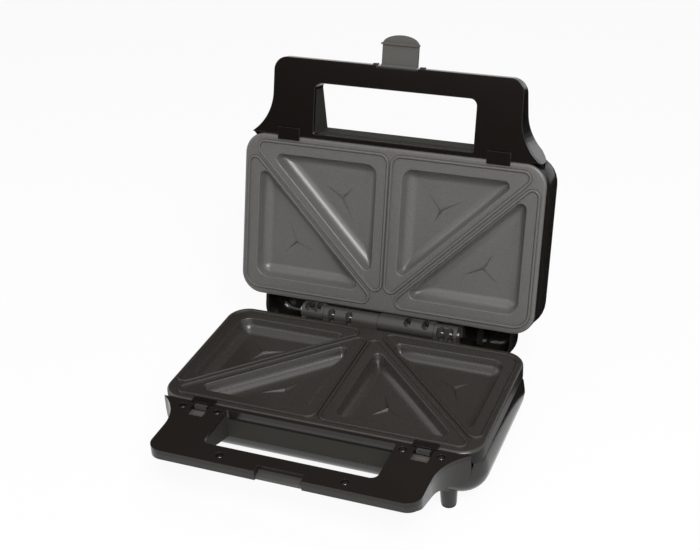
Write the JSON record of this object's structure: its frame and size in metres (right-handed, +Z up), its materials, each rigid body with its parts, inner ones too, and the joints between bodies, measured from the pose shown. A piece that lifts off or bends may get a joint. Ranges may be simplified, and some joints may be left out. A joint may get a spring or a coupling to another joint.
{
  "type": "sandwich toaster",
  "caption": "Countertop sandwich toaster, lid open: ribbed-edge triangular plates, loop handles, swing latch, rear pin hinge and slanted moulded housings.",
  "frame": {"origin": "on the table, under the middle of the opened toaster's bounding box", "axes": "+X to the right as seen by the user at the handle, +Y to the back where the hinge is, +Z up"},
  "size_m": [0.233, 0.2543, 0.249],
  "materials": {
    "black_gloss": "gloss",
    "panel_gloss": "gloss",
    "soft_black": "satin",
    "pad_rubber": "matt",
    "plate_coat_base": "non-stick coating, fine grain",
    "plate_coat_lid": "non-stick coating, fine grain",
    "clip_grey": "satin",
    "bracket_grey": "satin",
    "steel": "bright",
    "tray_metal": "bright",
    "element_sheath": "dull",
    "fuse_metal": "bright",
    "ceramic": "glazed",
    "thermostat_body": "plated",
    "lens_red": "clear",
    "lens_green": "clear",
    "latch_grey": "satin"
  },
  "bodies": {
    "base": {"base_housing": "black_gloss", "foot_pads": "pad_rubber", "cord_gland": "soft_black", "base_panel": "panel_gloss", "panel_screws": "steel", "base_plate": "plate_coat_base", "base_element": "element_sheath", "base_reflector": "tray_metal", "thermostat": "thermostat_body", "thermal_fuse": "fuse_metal", "terminal_block": "ceramic", "base_bracket": "bracket_grey", "base_bracket_screws": "steel", "hinge_pin": "steel"},
    "lid": {"lid_bracket": "bracket_grey", "lid_bracket_screws": "steel", "lid_housing": "black_gloss", "lid_panel": "panel_gloss", "lid_plate": "plate_coat_lid", "lid_element": "element_sheath", "lid_reflector": "tray_metal", "power_lens": "lens_red", "ready_lens": "lens_green", "latch_pin": "steel"},
    "base_clip_left": {"base_clip_left": "clip_grey"},
    "base_clip_right": {"base_clip_right": "clip_grey"},
    "lid_clip_left": {"lid_clip_left": "soft_black"},
    "lid_clip_right": {"lid_clip_right": "soft_black"},
    "latch": {"latch": "latch_grey"}
  },
  "joints": [
    {"name": "lid_hinge", "type": "hinge", "parent": "base", "child": "lid", "pos_m": [0, 0.05914, 0.0495], "axis": [1, 0, 0], "range_deg": [0, 105]},
    {"name": "latch_hinge", "type": "hinge", "parent": "lid", "child": "latch", "pos_m": [0, 0.11351, 0.22749], "axis": [1, 0, 0], "range_deg": [0, 90]},
    {"name": "base_clip_left_slide", "type": "slide", "parent": "base", "child": "base_clip_left", "axis": [0, -1, 0], "range_m": [0, 0.0034], "stiffness_N_per_m": 600},
    {"name": "base_clip_right_slide", "type": "slide", "parent": "base", "child": "base_clip_right", "axis": [0, -1, 0], "range_m": [0, 0.0034], "stiffness_N_per_m": 600},
    {"name": "lid_clip_left_slide", "type": "slide", "parent": "lid", "child": "lid_clip_left", "axis": [0, 0.2588, 0.9659], "range_m": [0, 0.0034], "stiffness_N_per_m": 600},
    {"name": "lid_clip_right_slide", "type": "slide", "parent": "lid", "child": "lid_clip_right", "axis": [0, 0.2588, 0.9659], "range_m": [0, 0.0034], "stiffness_N_per_m": 600}
  ]
}
